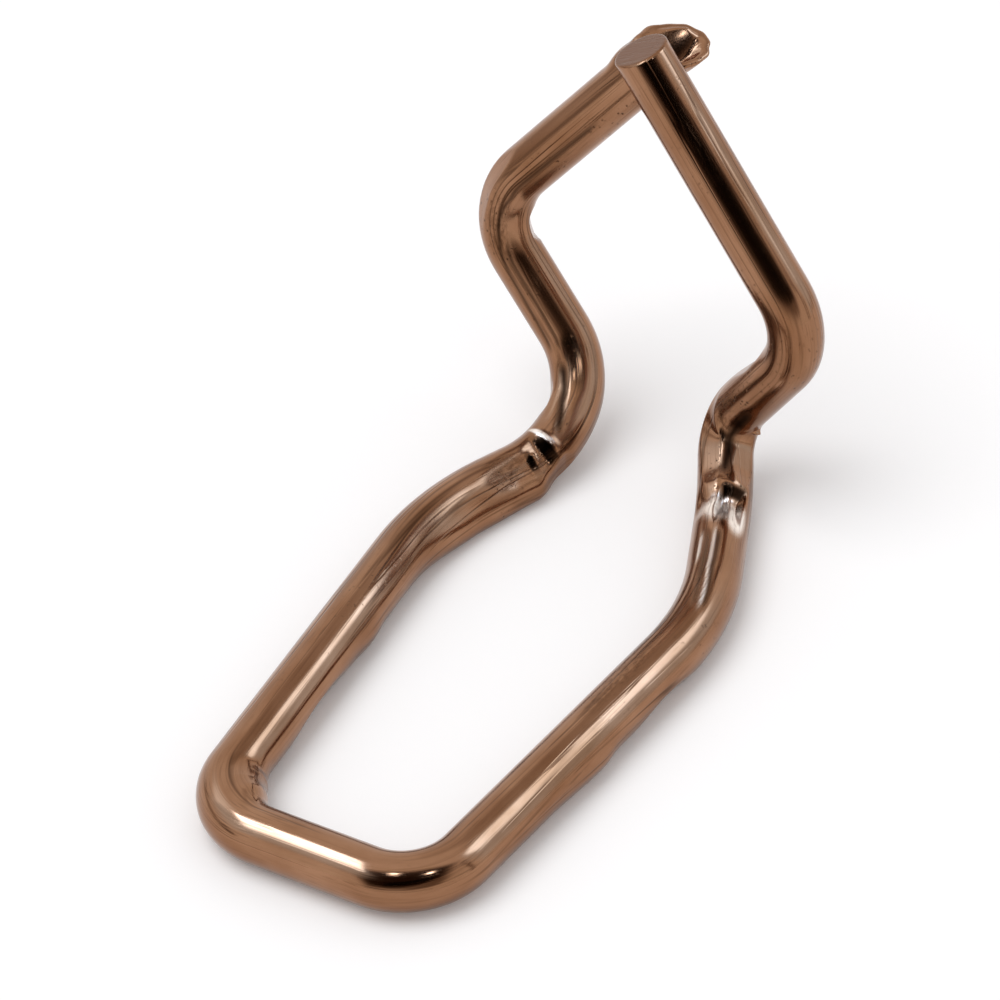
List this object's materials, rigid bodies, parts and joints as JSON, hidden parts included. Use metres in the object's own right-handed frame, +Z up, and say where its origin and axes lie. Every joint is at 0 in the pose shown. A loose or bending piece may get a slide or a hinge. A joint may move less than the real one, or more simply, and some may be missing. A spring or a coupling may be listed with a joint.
{
  "type": "trim clip",
  "caption": "Bent spring-wire trim clip: a flat loop holds the trim board and an upright arrow-shaped head snaps into a body hole.",
  "frame": {"origin": "centre of the footprint, on the level the loop lies on", "axes": "+Z up, out of the loop's plane towards the head's tip; +Y from the loop's bar towards the head; +X towards the arm that passes in front"},
  "size_m": [0.0118, 0.0244, 0.0131],
  "materials": {
    "bronzed_wire": "glossy brown bronze-coloured plating on drawn spring steel wire"
  },
  "bodies": {
    "root": {"wire_clip": "bronzed_wire"}
  },
  "joints": []
}
